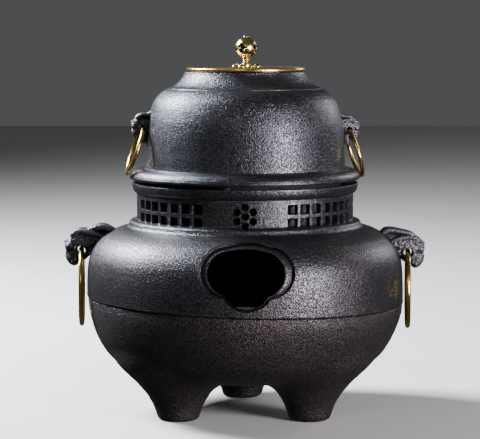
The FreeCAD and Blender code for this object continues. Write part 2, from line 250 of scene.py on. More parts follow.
def relax(V, F, it=2, w=0.5):
    # neighbour smoothing in the mesh, for sculpted forms
    n = len(V)
    E = np.concatenate([F[:, [0, 1]], F[:, [1, 2]], F[:, [2, 3]], F[:, [3, 0]]])
    for _ in range(it):
        acc = np.zeros_like(V); c = np.zeros(n)
        np.add.at(acc, E[:, 0], V[E[:, 1]]); np.add.at(c, E[:, 0], 1)
        np.add.at(acc, E[:, 1], V[E[:, 0]]); np.add.at(c, E[:, 1], 1)
        V = V * (1 - w) + w * acc / c[:, None]
    return V


# signed-distance primitives, mm
def s_sphere(P, c, r):
    return np.linalg.norm(P - np.array(c, float), axis=1) - r


def s_cap(P, a, b, ra, rb=None):
    rb = ra if rb is None else rb
    a = np.array(a, float); b = np.array(b, float)
    d = b - a
    t = np.clip(((P - a) @ d) / (d @ d), 0, 1)
    return np.linalg.norm(P - (a + t[:, None] * d), axis=1) - (ra + (rb - ra) * t)


def s_ell(P, c, r, rot=0.0):
    Q = P - np.array(c, float)
    if rot:
        cs, sn = math.cos(rot), math.sin(rot)
        Q = np.stack([Q[:, 0] * cs + Q[:, 2] * sn, Q[:, 1], -Q[:, 0] * sn + Q[:, 2] * cs], 1)
    r = np.array(r, float)
    k0 = np.linalg.norm(Q / r, axis=1)
    k1 = np.linalg.norm(Q / (r * r), axis=1)
    return k0 * (k0 - 1.0) / np.maximum(k1, 1e-9)


def s_torus_y(P, c, R, r):
    Q = P - np.array(c, float)
    q = np.sqrt(Q[:, 0] ** 2 + Q[:, 2] ** 2) - R
    return np.sqrt(q * q + Q[:, 1] ** 2) - r


def s_cyl_y(P, c, r):
    Q = P - np.array(c, float)
    return np.sqrt(Q[:, 0] ** 2 + Q[:, 2] ** 2) - r


def smin(a, b, k):
    h = np.clip(0.5 + 0.5 * (b - a) / k, 0, 1)
    return b * (1 - h) + a * h - k * h * (1 - h)


def smax(a, b, k):
    return -smin(-a, -b, k)


class Profile:
    # signed distance to a closed outline in (r,z), tabulated
    def __init__(self, poly, lo, hi, step=0.8):
        poly = np.asarray(poly, float)
        self.lo = np.array(lo, float); self.step = step
        nr = int((hi[0] - lo[0]) / step) + 2; nz = int((hi[1] - lo[1]) / step) + 2
        R, Z = np.meshgrid(lo[0] + step * np.arange(nr), lo[1] + step * np.arange(nz), indexing="ij")
        P = np.stack([R.ravel(), Z.ravel()], 1)
        A = poly; B = np.roll(poly, -1, 0)
        best = np.full(len(P), 1e9); ins = np.zeros(len(P), bool)
        for a, b in zip(A, B):
            d = b - a
            L = d @ d
            if L < 1e-12:
                continue
            t = np.clip(((P - a) @ d) / L, 0, 1)
            q = P - (a + t[:, None] * d)
            best = np.minimum(best, (q * q).sum(1))
            if a[1] != b[1]:
                cr = ((a[1] > P[:, 1]) != (b[1] > P[:, 1])) & (P[:, 0] < (b[0] - a[0]) * (P[:, 1] - a[1]) / (b[1] - a[1]) + a[0])
                ins ^= cr
        D = np.sqrt(best)
        D[ins] *= -1
        self.D = D.reshape(nr, nz)

    def __call__(self, r, z):
        x = np.clip((r - self.lo[0]) / self.step, 0, self.D.shape[0] - 1.001)
        y = np.clip((z - self.lo[1]) / self.step, 0, self.D.shape[1] - 1.001)
        i = x.astype(int); j = y.astype(int)
        u = x - i; v = y - j
        D = self.D
        return (D[i, j] * (1 - u) * (1 - v) + D[i + 1, j] * u * (1 - v) +
                D[i, j + 1] * (1 - u) * v + D[i + 1, j + 1] * u * v)


# ------------------------------------------------------------------ materials


def new_mat(name):
    m = bpy.data.materials.new(name)
    m.use_nodes = True
    nt = m.node_tree
    for n in list(nt.nodes):
        if n.type != "OUTPUT_MATERIAL" and n.type != "BSDF_PRINCIPLED":
            nt.nodes.remove(n)
    return m, nt, nt.nodes["Principled BSDF"]


def nd(nt, kind, **kw):
    n = nt.nodes.new(kind)
    for k, v in kw.items():
        if k in n.inputs.keys():
            n.inputs[k].default_value = v
        else:
            setattr(n, k, v)
    return n


def ramp(nt, stops):
    n = nt.nodes.new("ShaderNodeValToRGB")
    e = n.color_ramp.elements
    while len(e) < len(stops):
        e.new(0.5)
    for el, (p, c) in zip(e, stops):
        el.position = p
        el.color = (c, c, c, 1) if isinstance(c, (int, float)) else (*c, 1)
    return n


def coords(nt):
    return nt.nodes.new("ShaderNodeTexCoord").outputs["Object"]


def noise(nt, co, scale, detail=3.0, rough=0.5, dist=0.0):
    n = nd(nt, "ShaderNodeTexNoise", Scale=scale, Detail=detail, Roughness=rough, Distortion=dist)
    nt.links.new(co, n.inputs["Vector"])
    return n.outputs["Fac"]


def mixc(nt, fac, a, b):
    m = nt.nodes.new("ShaderNodeMix")
    m.data_type = "RGBA"
    if isinstance(fac, float):
        m.inputs[0].default_value = fac
    else:
        nt.links.new(fac, m.inputs[0])
    for s, v in ((6, a), (7, b)):
        if isinstance(v, tuple):
            m.inputs[s].default_value = (*v, 1)
        else:
            nt.links.new(v, m.inputs[s])
    return m.outputs[2]


def math_n(nt, op, a, b=None):
    m = nt.nodes.new("ShaderNodeMath")
    m.operation = op
    for s, v in ((0, a), (1, b)):
        if v is None:
            continue
        if isinstance(v, (int, float)):
            m.inputs[s].default_value = v
        else:
            nt.links.new(v, m.inputs[s])
    return m.outputs[0]


def bump(nt, h, dist, strength=1.0, normal=None):
    b = nt.nodes.new("ShaderNodeBump")
    b.inputs["Strength"].default_value = strength
    b.inputs["Distance"].default_value = dist
    nt.links.new(h, b.inputs["Height"])
    if normal is not None:
        nt.links.new(normal, b.inputs["Normal"])
    return b.outputs["Normal"]


def iron(name, dark, light, warm, rough=(0.36, 0.56), fine=0.00012, coarse=0.0, metal=0.55, rust=0.25, scale=1.0):
    m, nt, bs = new_mat(name)
    co = coords(nt)
    n1 = noise(nt, co, 14 * scale, 4, 0.55)
    n2 = noise(nt, co, 420 * scale, 3, 0.6)
    n3 = noise(nt, co, 1500, 2, 0.6)
    pits = nd(nt, "ShaderNodeTexVoronoi", Scale=620.0 * scale)
    nt.links.new(co, pits.inputs["Vector"])
    base = mixc(nt, ramp_out(nt, n2, [(0.32, 0.0), (0.72, 1.0)]), dark, light)
    base = mixc(nt, math_n(nt, "MULTIPLY", ramp_out(nt, n1, [(0.42, 0.0), (0.68, 1.0)]), rust), base, warm)
    nt.links.new(base, bs.inputs["Base Color"])
    bs.inputs["Metallic"].default_value = metal
    r = nt.nodes.new("ShaderNodeMapRange")
    r.inputs["From Min"].default_value = 0.3
    r.inputs["From Max"].default_value = 0.7
    r.inputs["To Min"].default_value = rough[0]
    r.inputs["To Max"].default_value = rough[1]
    nt.links.new(n2, r.inputs["Value"])
    nt.links.new(r.outputs[0], bs.inputs["Roughness"])
    b = bump(nt, n3, fine * 0.5)
    b = bump(nt, n2, fine, 1.0, b)
    b = bump(nt, pits.outputs["Distance"], fine * 0.8, 0.6, b)
    if coarse:
        w = noise(nt, co, 900 * scale, 0.5, 0.4, 0.3)
        pit = ramp_out(nt, w, [(0.34, 0.0), (0.62, 1.0)])
        b = bump(nt, pit, coarse, 1.0, b)
        sp = nt.nodes.new("ShaderNodeMapRange")
        sp.inputs["To Min"].default_value = 0.22
        sp.inputs["To Max"].default_value = 0.80
        nt.links.new(pit, sp.inputs["Value"])
        nt.links.new(sp.outputs[0], bs.inputs["Specular IOR Level"])
        rr = nt.nodes.new("ShaderNodeMapRange")
        rr.inputs["To Min"].default_value = 0.08
        rr.inputs["To Max"].default_value = 0.0
        nt.links.new(pit, rr.inputs["Value"])
        nt.links.new(math_n(nt, "ADD", r.outputs[0], rr.outputs[0]), bs.inputs["Roughness"])
        # painted shade: base colour darkened towards 0.35 of the dark tone in the pits of the coarse grain
        nt.links.new(mixc(nt, pit, tuple(0.35 * c for c in dark), base), bs.inputs["Base Color"])
    nt.links.new(b, bs.inputs["Normal"])
    return m


def ramp_out(nt, fac, stops):
    n = ramp(nt, stops)
    nt.links.new(fac, n.inputs[0])
    return n.outputs[0]


def brass(name, col, dark, rough=(0.12, 0.3), tarnish=0.5, scratch=0.00002):
    m, nt, bs = new_mat(name)
    co = coords(nt)
    n1 = noise(nt, co, 90, 4, 0.6)
    n2 = noise(nt, co, 700, 3, 0.6)
    mp = nd(nt, "ShaderNodeMapping")
    mp.inputs["Scale"].default_value = (1.0, 1.0, 0.12)
    nt.links.new(co, mp.inputs["Vector"])
    n3 = noise(nt, mp.outputs[0], 2600, 2, 0.7)
    base = mixc(nt, math_n(nt, "MULTIPLY", ramp_out(nt, n1, [(0.4, 0.0), (0.66, 1.0)]), tarnish), col, dark)
    nt.links.new(base, bs.inputs["Base Color"])
    bs.inputs["Metallic"].default_value = 1.0
    r = nt.nodes.new("ShaderNodeMapRange")
    r.inputs["From Min"].default_value = 0.3
    r.inputs["From Max"].default_value = 0.7
    r.inputs["To Min"].default_value = rough[0]
    r.inputs["To Max"].default_value = rough[1]
    nt.links.new(n1, r.inputs["Value"])
    nt.links.new(r.outputs[0], bs.inputs["Roughness"])
    b = bump(nt, n3, scratch)
    b = bump(nt, n2, scratch * 1.5, 0.7, b)
    nt.links.new(b, bs.inputs["Normal"])
    return m


M_KETTLE = iron("iron_kettle", (0.032, 0.031, 0.037), (0.086, 0.084, 0.099), (0.078, 0.060, 0.062), (0.27, 0.36), 0.00003, 0.00017, metal=0.82, rust=0.3)
M_SHELL = iron("iron_shell", (0.031, 0.029, 0.034), (0.084, 0.078, 0.090), (0.086, 0.063, 0.061), (0.28, 0.37), 0.00003, 0.00017, metal=0.82, rust=0.5)
M_BOWL = iron("iron_bowl", (0.025, 0.0205, 0.0215), (0.068, 0.055, 0.058), (0.074, 0.050, 0.046), (0.36, 0.48), 0.00005, 0.00024, metal=0.68, rust=0.6)
M_SMOOTH = iron("iron_smooth", (0.031, 0.030, 0.035), (0.084, 0.082, 0.094), (0.080, 0.060, 0.058), (0.24, 0.34), 0.00004, 0.00014, metal=0.80, scale=1.1)
M_LEDGE = iron("iron_ledge", (0.060, 0.055, 0.057), (0.125, 0.115, 0.118), (0.115, 0.088, 0.082), (0.36, 0.46), 0.00003, 0.0, metal=0.55, scale=1.6)
M_LUG = iron("iron_lug", (0.066, 0.062, 0.070), (0.155, 0.146, 0.163), (0.13, 0.10, 0.097), (0.34, 0.46), 0.00007, 0.00014, metal=0.62, scale=1.2)
# iron_inner: near-black, painted shade on the insides of the kettle, shell, bowl and knob ball; also the colour of the
# charcoal pan and grate
M_INNER = iron("iron_inner", (0.006, 0.0055, 0.005), (0.016, 0.014, 0.013), (0.03, 0.02, 0.015), (0.65, 0.85), 0.00014, 0.0002, metal=0.2)
M_RING = brass("brass_ring", (0.68, 0.46, 0.115), (0.36, 0.20, 0.045), (0.12, 0.26), 0.4)
M_KNOB = brass("brass_knob", (0.66, 0.54, 0.20), (0.33, 0.25, 0.08), (0.14, 0.3), 0.55)
M_BEAD = brass("brass_bead", (0.86, 0.60, 0.46), (0.5, 0.3, 0.18), (0.14, 0.26), 0.4)
M_RIM = brass("brass_rim", (0.66, 0.44, 0.15), (0.42, 0.25, 0.08), (0.18, 0.34), 0.35)
M_LIDTOP = brass("lid_top", (0.13, 0.085, 0.045), (0.05, 0.036, 0.026), (0.3, 0.5), 0.7, 0.00004)
M_STEEL = iron("steel_fastener", (0.10, 0.10, 0.10), (0.22, 0.21, 0.2), (0.16, 0.09, 0.05), (0.35, 0.5), 0.00004, 0.0, metal=0.9)


def cement():
    m, nt, bs = new_mat("fire_cement")
    co = coords(nt)
    n = noise(nt, co, 500, 4, 0.6)
    nt.links.new(mixc(nt, n, (0.005, 0.0046, 0.0042), (0.014, 0.0125, 0.0115)), bs.inputs["Base Color"])
    bs.inputs["Roughness"].default_value = 0.9
    nt.links.new(bump(nt, n, 0.0005), bs.inputs["Normal"])
    return m


M_CEMENT = cement()


def dress(node, mat):
    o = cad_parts[node]
    o = o if hasattr(o, "data") else bpy.data.objects[node]
    if not o.data.materials:
        o.data.materials.append(mat)
    for k in range(len(o.material_slots)):
        o.material_slots[k].material = mat


for n_, m_ in (("seam_cement", M_CEMENT), ("brazier_lug_washers", M_STEEL), ("brazier_lug_nuts", M_STEEL),
               ("charcoal_pan", M_INNER), ("charcoal_grate", M_INNER), ("knob_pin", M_KNOB),
               ("lid_washer", M_KNOB), ("lid_nut", M_KNOB)):
    dress(n_, m_)


def place(o, body, nodes, mats):
    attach(o, body)
    if nodes:
        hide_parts(*nodes)
    for m in mats:
        o.data.materials.append(m)


# ------------------------------------------------------------------ camera, floor, light
D_CAM, H_CAM, PITCH, F_PX = 2.1074, 0.3916, 0.093, 2091.4
cam_d = bpy.data.cameras.new("camera")
cam = bpy.data.objects.new("camera", cam_d)
bpy.context.scene.collection.objects.link(cam)
cam.location = (0, -D_CAM, H_CAM)
cam.rotation_euler = (math.pi / 2 - PITCH, 0, 0)
cam_d.sensor_width = 36.0
cam_d.lens = F_PX / 480 * 36.0
cam_d.shift_x = -5.0 / 480
cam_d.clip_start = 0.05
bpy.context.scene.camera = cam


def floor():
    o = make_mesh("floor", [(-6000, -4000, 0), (6000, -4000, 0), (6000, 6000, 0), (-6000, 6000, 0)], [(0, 1, 2, 3)])
    m, nt, bs = new_mat("floor")
    co = coords(nt)
    n = noise(nt, co, 6, 3, 0.5)
    nt.links.new(mixc(nt, n, (0.52, 0.50, 0.47), (0.58, 0.56, 0.53)), bs.inputs["Base Color"])
    bs.inputs["Roughness"].default_value = 0.75
    o.data.materials.append(m)
    o.visible_glossy = False     # the casting is shown against dark surroundings, as lit
    o.visible_diffuse = False
    return o


floor()


def area(name, loc, target, size, power, col=(1, 1, 1)):
    L = bpy.data.lights.new(name, "AREA")
    L.shape = "RECTANGLE"
    L.size, L.size_y = size
    L.energy = power
    L.color = col
    o = bpy.data.objects.new(name, L)
    bpy.context.scene.collection.objects.link(o)
    o.location = loc
    d = Vector(target) - Vector(loc)
    o.rotation_euler = d.to_track_quat("-Z", "Y").to_euler()
    return o


area("key", (-1.36, 0.60, 1.34), (0, 0, 0.20), (0.72, 0.72), 290, (0.84, 0.92, 1.0))
area("fill", (1.50, -1.45, 0.36), (0, 0, 0.17), (0.75, 0.9), 118, (0.96, 0.95, 1.0))
area("front", (-0.5, -2.2, 1.3), (0, 0, 0.2), (1.0, 0.7), 6, (1.0, 0.97, 0.94))
area("rim", (1.35, 1.2, 0.8), (0, 0, 0.22), (0.5, 0.5), 10, (0.95, 0.97, 1.0))
w = bpy.data.worlds.new("world")
bpy.context.scene.world = w
w.use_nodes = True
w.node_tree.nodes["Background"].inputs[0].default_value = (0.40, 0.41, 0.43, 1)
w.node_tree.nodes["Background"].inputs[1].default_value = 0.20

# ------------------------------------------------------------------ kettle body
STEP = 0.66


def seg_for(r, step):
    return int(2 * math.pi * r / step / 8) * 8


def kettle():
    wallp = curve([(101.2, 248.5), (100.9, 252), (100.8, 257), (100.3, 265.7), (99.8, 275.8), (99.1, 285.9),
                   (97.7, 295.9), (95.4, 305.0), (93.1, 311.5), (90.3, 316.8), (86.7, 321.2), (82.7, 324.7),
                   (79.2, 326.9)], 4)
    neck = curve([(76.9, 328.3), (74.2, 329.0), (70.8, 330.7), (66.9, 334.1), (63.5, 338.2), (61.2, 341.8), (60.1, 344.3)], 4)
    fl = curve([(115.3, 240.9), (113.5, 244.0), (111.0, 246.0), (107.4, 247.3), (103.6, 247.9), (101.9, 248.15), (101.2, 248.5)], 4)
    lip = [(99.5, 237.0), (114.6, 237.0), (115.6, 237.4), (115.95, 238.4), (115.8, 239.9), (115.25, 240.35), (115.3, 240.9)]
    outer = (lip[:-1] + fl[:-1] + wallp + [(78.3, 327.15), (77.6, 327.2), (77.25, 327.55), (77.2, 328.0)] + neck +
             [(59.6, 344.5), (56.7, 344.5), (56.2, 344.0)])
    inner = [(56.2, 337.6), (61.5, 333.0), (68.0, 327.0), (76.5, 322.6), (85.0, 315.6), (90.4, 307.0),
             (93.4, 297.0), (95.3, 285.0), (96.2, 268.0), (96.7, 252.0), (95.4, 240.0), (93.0, 230.0),
             (91.6, 212.0), (89.6, 197.0), (86.0, 187.0), (80.0, 182.0), (70.0, 180.5), (0.6, 180.5)]
    under = [(0.6, 176.5), (82.6, 176.5), (83.0, 175.5), (83.4, 171.0), (84.2, 170.4), (86.6, 170.4), (87.2, 171.0),
             (88.0, 175.0), (90, 180), (92.6, 188), (94.8, 200), (96.2, 215), (97.0, 232.0), (97.8, 236.4)]
    o1 = resample(outer, STEP)
    i1 = resample(inner, 6.0)
    u1 = resample(under, 3.0)
    rows = np.concatenate([o1, i1, u1])
    seg = seg_for(100, STEP)
    V, F = lathe(rows, seg)
    N = lathe_normals(rows, seg)
    r = np.hypot(V[:, 0], V[:, 1]); z = V[:, 2]
    is_out = np.repeat(np.arange(len(rows)) < len(o1), seg)
    m = smoothstep(247.5, 252, z) * (1 - smoothstep(340.5, 343, z)) * is_out
    m *= np.where((z > 326.9) & (z < 328.3) & (r > 76.5), 0.25, 1.0)
    m *= np.where(z > 328.2, 0.55, 1.0)
    g = grain(V[m > 0], 1.1, 3)
    d = np.zeros(len(V))
    d[m > 0] = g * 0.022 * m[m > 0]
    # hand-cast waviness
    wv = perlin(V, 38, 9) * 0.35 * is_out
    mf = is_out * (z < 247.8) * (z > 236.5)
    d = d + wv * (m > 0.05) + 0.10 * mf * perlin(V * np.array([1, 1, 2.5]), 5, 21) + 0.22 * mf * perlin(V, 14, 22)
    V = V + N * d[:, None]
    o = make_mesh("kettle_body_cast", V, F, 38)
    place(o, "kettle", ["kettle_body"], [M_KETTLE, M_SMOOTH, M_INNER])
    zc = z.reshape(len(rows), seg)[:, 0]
    mi = np.zeros(len(rows), int)
    mi[(zc < 248.3) & (zc > 236.5)] = 1
    # index 2 is the near-black inner material, painted shade inside and under the kettle
    mi[len(o1) - 3:] = 2
    mi[len(o1) - 6:len(o1) - 2] = 1
    mi[len(o1) + len(i1):] = 2
    mi[zc <= 236.5] = 2          # painted shade below the skirt, inside the brazier: near-black inner material
    o.data.polygons.foreach_set("material_index", np.repeat(mi, seg).astype(np.int32))
    o.data.update()
    return o


# ------------------------------------------------------------------ brazier upper shell
TILT = 0.024  # the seam plane drops this much per mm towards +X
SHOULDER = [(160.0, 116.0), (160.0, 119.6), (160, 129.8), (159.5, 142), (158.5, 151.1),
            (157.0, 158.7), (154.4, 165.5), (150.6, 171.6), (146, 176.6), (140.4, 181),
            (131, 185.8), (121.6, 188.7)]
INNER = [(mouth_r, 224.5) for mouth_r in (99.5,)] + [
    (103.2, 221.5), (103.2, 196), (106.5, 189.5), (113, 185.3), (122, 182.6), (131, 178.9), (138, 174.2),
    (143.4, 168.8), (147.6, 162), (150.4, 154), (152.4, 144), (154.2, 130), (154.9, 124), (154.9, 116.0)]
sh_curve = curve(SHOULDER, 6)
sh_arr = np.array(sh_curve)


def shoulder_at(z):
    r = np.interp(z, sh_arr[:, 1], sh_arr[:, 0])
    e = 0.8
    r1 = np.interp(z + e, sh_arr[:, 1], sh_arr[:, 0]); r0 = np.interp(z - e, sh_arr[:, 1], sh_arr[:, 0])
    t = np.array([r1 - r0, 2 * e]); t /= np.linalg.norm(t)
    return r, (t[1], -t[0])


def arc3(a, b, c, n):
    (ax, ay), (bx, by), (cx, cy) = a, b, c
    d = 2 * (ax * (by - cy) + bx * (cy - ay) + cx * (ay - by))
    ux = ((ax * ax + ay * ay) * (by - cy) + (bx * bx + by * by) * (cy - ay) + (cx * cx + cy * cy) * (ay - by)) / d
    uy = ((ax * ax + ay * ay) * (cx - bx) + (bx * bx + by * by) * (ax - cx) + (cx * cx + cy * cy) * (bx - ax)) / d
    R = math.hypot(ax - ux, ay - uy)
    t0 = math.atan2(ay - uy, ax - ux); t1 = math.atan2(by - uy, bx - ux); t2 = math.atan2(cy - uy, cx - ux)
    def fwd(x, y):
        return (y - x) % (2 * math.pi)
    if fwd(t0, t1) < fwd(t0, t2):
        span = fwd(t0, t2)
    else:
        span = -fwd(t2, t0)
    return [(ux + R * math.cos(t0 + span * k / n), uy + R * math.sin(t0 + span * k / n)) for k in range(n)]


def lobes(top, sl, sr, cz, bot, tl, tr, bl, br, n=14):
    p = arc3(tl, (0.4, top), tr, n)
    p += arc3(tr, (sr, cz), br, n + 8)
    p += arc3(br, (0.8, bot), bl, n + 2)
    p += arc3(bl, (sl, cz), tl, n + 8)
    return np.array(p)


WIN_O = lobes(185.8, -44.6, 47.4, 160.2, 121.9, (-21.0, 182.2), (23.0, 182.0), (-21.2, 134.6), (24.0, 134.2))
WIN_I = lobes(179.4, -35.6, 37.6, 158.0, 124.2, (-20.6, 176.6), (22.4, 176.4), (-20.4, 137.2), (22.2, 136.6))


def window_ring(t, depth, normal=1.0):
    # outline blended from outer (0) to inner (1), pushed in from the wall by depth
    q = WIN_O * (1 - t) + WIN_I * t
    out = []
    for x, z in q:
        r, n = shoulder_at(z)
        y = -math.sqrt(max(1.0, r * r - x * x))
        a = math.atan2(y, x)
        nx, ny, nz = n[0] * math.cos(a), n[0] * math.sin(a), n[1]
        k = depth * normal
        q_ = depth * (1 - normal) / max(0.45, -ny)
        out.append((x - nx * k, y - ny * k + q_, z - nz * k))
    return out


def window_cutter():
    rings = [window_ring(-0.05, -7.0), window_ring(-0.045, -0.7), window_ring(-0.015, -0.05), window_ring(0.015, 0.25),
             window_ring(0.035, 0.8, 0), window_ring(0.22, 3.5, 0), window_ring(0.27, 3.85, 0), window_ring(0.33, 3.75, 0),
             window_ring(0.50, 3.05, 0), window_ring(0.70, 2.45, 0), window_ring(0.88, 2.2, 0), window_ring(0.96, 2.45, 0),
             window_ring(1.0, 3.2, 0), window_ring(1.0, 16.0, 0)]
    n = len(rings[0])
    V = [p for r in rings for p in r]
    F = []
    for i in range(len(rings) - 1):
        for j in range(n):
            j2 = (j + 1) % n
            F.append((i * n + j, i * n + j2, (i + 1) * n + j2, (i + 1) * n + j))
    c0 = len(V); V.append(tuple(np.mean(rings[0], 0) + np.array([0, -14, 0])))
    c1 = len(V); V.append((1.0, -100.0, 156.0))
    L = (len(rings) - 1) * n
    for j in range(n):
        j2 = (j + 1) % n
        F.append((j2, j, c0))
        F.append((L + j, L + j2, c1))
    o = make_mesh("cut_window", V, F)
    fix_normals(o)
    return o


def fix_normals(o):
    bm = bmesh.new(); bm.from_mesh(o.data)
    bmesh.ops.recalc_face_normals(bm, faces=bm.faces)
    bm.to_mesh(o.data); bm.free()


def box_tool(verts, faces, a, r0, r1, w, z0, z1, c=0.9):
    # prism with softened corners, along the radius at angle a
    h = w / 2
    sec = []
    for (sx, sz, q) in ((1, 1, 0), (-1, 1, 90), (-1, -1, 180), (1, -1, 270)):
        for k in range(4):
            t = math.radians(q + 30 * k)
            cx = sx * (h - c); cz = (z1 - c) if sz > 0 else (z0 + c)
            sec.append((cx + c * math.cos(t), cz + c * math.sin(t)))
    n = len(sec)
    b = len(verts)
    ca, sa = math.cos(a), math.sin(a)
    # flares slightly outward, as cast openings do
    for r, g in ((r0, 0.0), (108.4, 0.0), (109.6, 0.55), (r1, 0.9)):
        for u, z in sec:
            zz = z + math.copysign(g, z - (z0 + z1) / 2)
            uu = u + math.copysign(g, u)
            verts.append((r * ca - uu * sa, r * sa + uu * ca, zz))
    for i in range(3):
        for j in range(n):
            j2 = (j + 1) % n
            faces.append((b + i * n + j, b + i * n + j2, b + (i + 1) * n + j2, b + (i + 1) * n + j))
    faces.append(tuple(b + j for j in range(n))[::-1])
    faces.append(tuple(b + 3 * n + j for j in range(n)))


def hole_tool(verts, faces, a, r0, r1, u0, z0, rad, n=20):
    b = len(verts)
    ca, sa = math.cos(a), math.sin(a)
    for r, g in ((r0, 0.0), (108.5, 0.0), (109.5, 0.5), (r1, 0.9)):
        for k in range(n):
            t = 2 * math.pi * k / n
            u = (rad + g) * math.cos(t); z = z0 + (rad + g) * math.sin(t)
            verts.append((r * ca - u * sa, r * sa + u * ca, z))
    for i in range(3):
        for j in range(n):
            j2 = (j + 1) % n
            faces.append((b + i * n + j, b + i * n + j2, b + (i + 1) * n + j2, b + (i + 1) * n + j))
    faces.append(tuple(b + j for j in range(n))[::-1])
    faces.append(tuple(b + 3 * n + j for j in range(n)))


def lattice_cutter():
    V, F = [], []
    for side in (-90, 90):
        for sg in (-1, 1):
            for k in range(7):
                a = math.radians(side + sg * (25.0 + 7.25 * k))
                box_tool(V, F, a, 97, 116, 10.4, 196.8, 205.2)
                box_tool(V, F, a, 97, 116, 10.4, 209.0, 218.2)
    for a in (-90, 0, 90, 180):
        cs = [(0, 0)] + [(9.0 * math.sin(math.radians(60 * k)), 9.0 * math.cos(math.radians(60 * k))) for k in range(6)]
        for u, wz in cs:
            hole_tool(V, F, math.radians(a + math.degrees(u / 109.2)), 97, 116, 0, 207.6 + wz, 3.55)
    o = make_mesh("cut_lattice", V, F)
    fix_normals(o)
    return o


def boolean(o, tools, op="DIFFERENCE"):
    for t in tools:
        m = o.modifiers.new("b", "BOOLEAN")
        m.operation = op
        m.object = t
        m.solver = "MANIFOLD"
    dg = bpy.context.evaluated_depsgraph_get()
    ev = o.evaluated_get(dg)
    me = bpy.data.meshes.new_from_object(ev)
    o.modifiers.clear()
    old = o.data
    o.data = me
    bpy.data.meshes.remove(old)
    for t in tools:
        bpy.data.objects.remove(t, do_unlink=True)


def seam_shift(V, low, high):
    # tilt the seam plane; fades to nothing at `high`
    f = 1 - smoothstep(min(low, high), max(low, high), V[:, 2]) if high > low else smoothstep(high, low, V[:, 2])
    V = V.copy()
    V[:, 2] += -TILT * V[:, 0] * f
    return V


def upper_shell():
    torus = curve([(121.6, 188.7), (119.6, 189.2), (118.0, 190.5), (117.0, 192.6), (116.2, 194.6), (114.0, 196.0), (111.4, 196.35), (109.6, 196.6)], 4)
    ringp = [(109.15, 222.2), (108.9, 222.9), (109.5, 223.3)] + curve([(110.2, 223.5), (111.4, 224.4), (112.6, 226.2), (113.4, 228.6), (113.8, 231.2)], 4)
    ringp += [(113.85, 232.3), (113.6, 233.1), (112.9, 233.5), (111.6, 233.5), (110.4, 233.1), (109.9, 232.2)]
    out = [(157.6, 116.0), (159.3, 116.05), (160.0, 116.35), (160.2, 117.0), (160.15, 118.0)] + sh_curve[2:-1] + torus + [(109.2, 197.2)] + ringp + [(101.0, 232.0), (100.0, 231.5), (99.5, 230.5)]
    o1 = resample(out, STEP)
    i1 = resample(INNER, 4.0)
    rows = np.concatenate([o1, i1[1:]])
    seg = seg_for(150, STEP * 1.05)
    V, F = lathe(rows, seg)
    N = lathe_normals(rows, seg)
    r = np.hypot(V[:, 0], V[:, 1]); z = V[:, 2]
    is_out = np.repeat(np.arange(len(rows)) < len(o1), seg)
    m = smoothstep(116.4, 117.6, z) * (1 - smoothstep(187.6, 188.8, z)) * is_out
    # grain on the outer shoulder, fading in above the seam and out at the torus
    d = np.zeros(len(V))
    k = m > 0
    d[k] = grain(V[k], 1.1, 1) * 0.022 * m[k]
    d += perlin(V, 45, 4) * 0.4 * (is_out & (z < 189))
    k2 = is_out & (z > 189)
    d += np.where(k2, 0.12 * perlin(V, 6, 7) + 0.1 * perlin(V, 2.6, 8), 0)
    V = V + N * d[:, None]
    o = make_mesh("brazier_shell_cast", V, F)
    o.data.materials.append(M_SHELL); o.data.materials.append(M_SMOOTH); o.data.materials.append(M_INNER)
    zc = z.reshape(len(rows), seg)[:, 0]
    mi = np.zeros(len(rows), int)
    mi[:len(o1)][zc[:len(o1)] > 188.2] = 1
    # index 2: the inner face gets the near-black inner material as painted shade
    mi[len(o1) - 1:] = 2
    o.data.polygons.foreach_set("material_index", np.repeat(mi, seg).astype(np.int32))
    cw = window_cutter(); cl = lattice_cutter()
    for c in (cw, cl):
        c.data.materials.append(M_LEDGE)
    boolean(o, [cw, cl])
    me = o.data
    # tilt the seam after cutting
    co = np.empty(len(me.vertices) * 3, np.float32)
    me.vertices.foreach_get("co", co)
    C = co.reshape(-1, 3).astype(float) * 1000
    C = seam_shift(C, 116, 150)
    me.vertices.foreach_set("co", (C * MM).astype(np.float32).ravel())
    me.shade_smooth()
    me.set_sharp_from_angle(angle=math.radians(38))
    me.update()
    nibs()
    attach(o, "brazier")
    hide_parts("brazier_upper_shell")
    return o


def nibs():
    # three cast seat nibs on the top ring
    V, F = [], []
    for a in (-99, 21, 141):
        a = math.radians(a)
        b = len(V)
        for k, (g, z) in enumerate(((0.6, 231.4), (0.3, 233.5), (0.0, 235.8), (0.5, 236.6))):
            for (u, v) in ((-3 - g, 106.2 - g), (3 + g, 106.2 - g), (3 + g, 111.2 + g), (-3 - g, 111.2 + g)) if k < 3 else \
                    ((-2.5, 106.8), (2.5, 106.8), (2.5, 110.6), (-2.5, 110.6)):
                V.append((v * math.cos(a) - u * math.sin(a), v * math.sin(a) + u * math.cos(a), z))
        for i in range(3):
            for j in range(4):
                j2 = (j + 1) % 4
                F.append((b + i * 4 + j, b + i * 4 + j2, b + (i + 1) * 4 + j2, b + (i + 1) * 4 + j))
        F.append((b, b + 1, b + 2, b + 3)); F.append((b + 12, b + 13, b + 14, b + 15))
    o = make_mesh("seat_nibs", V, F)
    fix_normals(o)
    md = o.modifiers.new("bev", "BEVEL"); md.width = 0.0006; md.segments = 3; md.limit_method = "ANGLE"
    o.data.materials.append(M_SMOOTH)
    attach(o, "brazier")


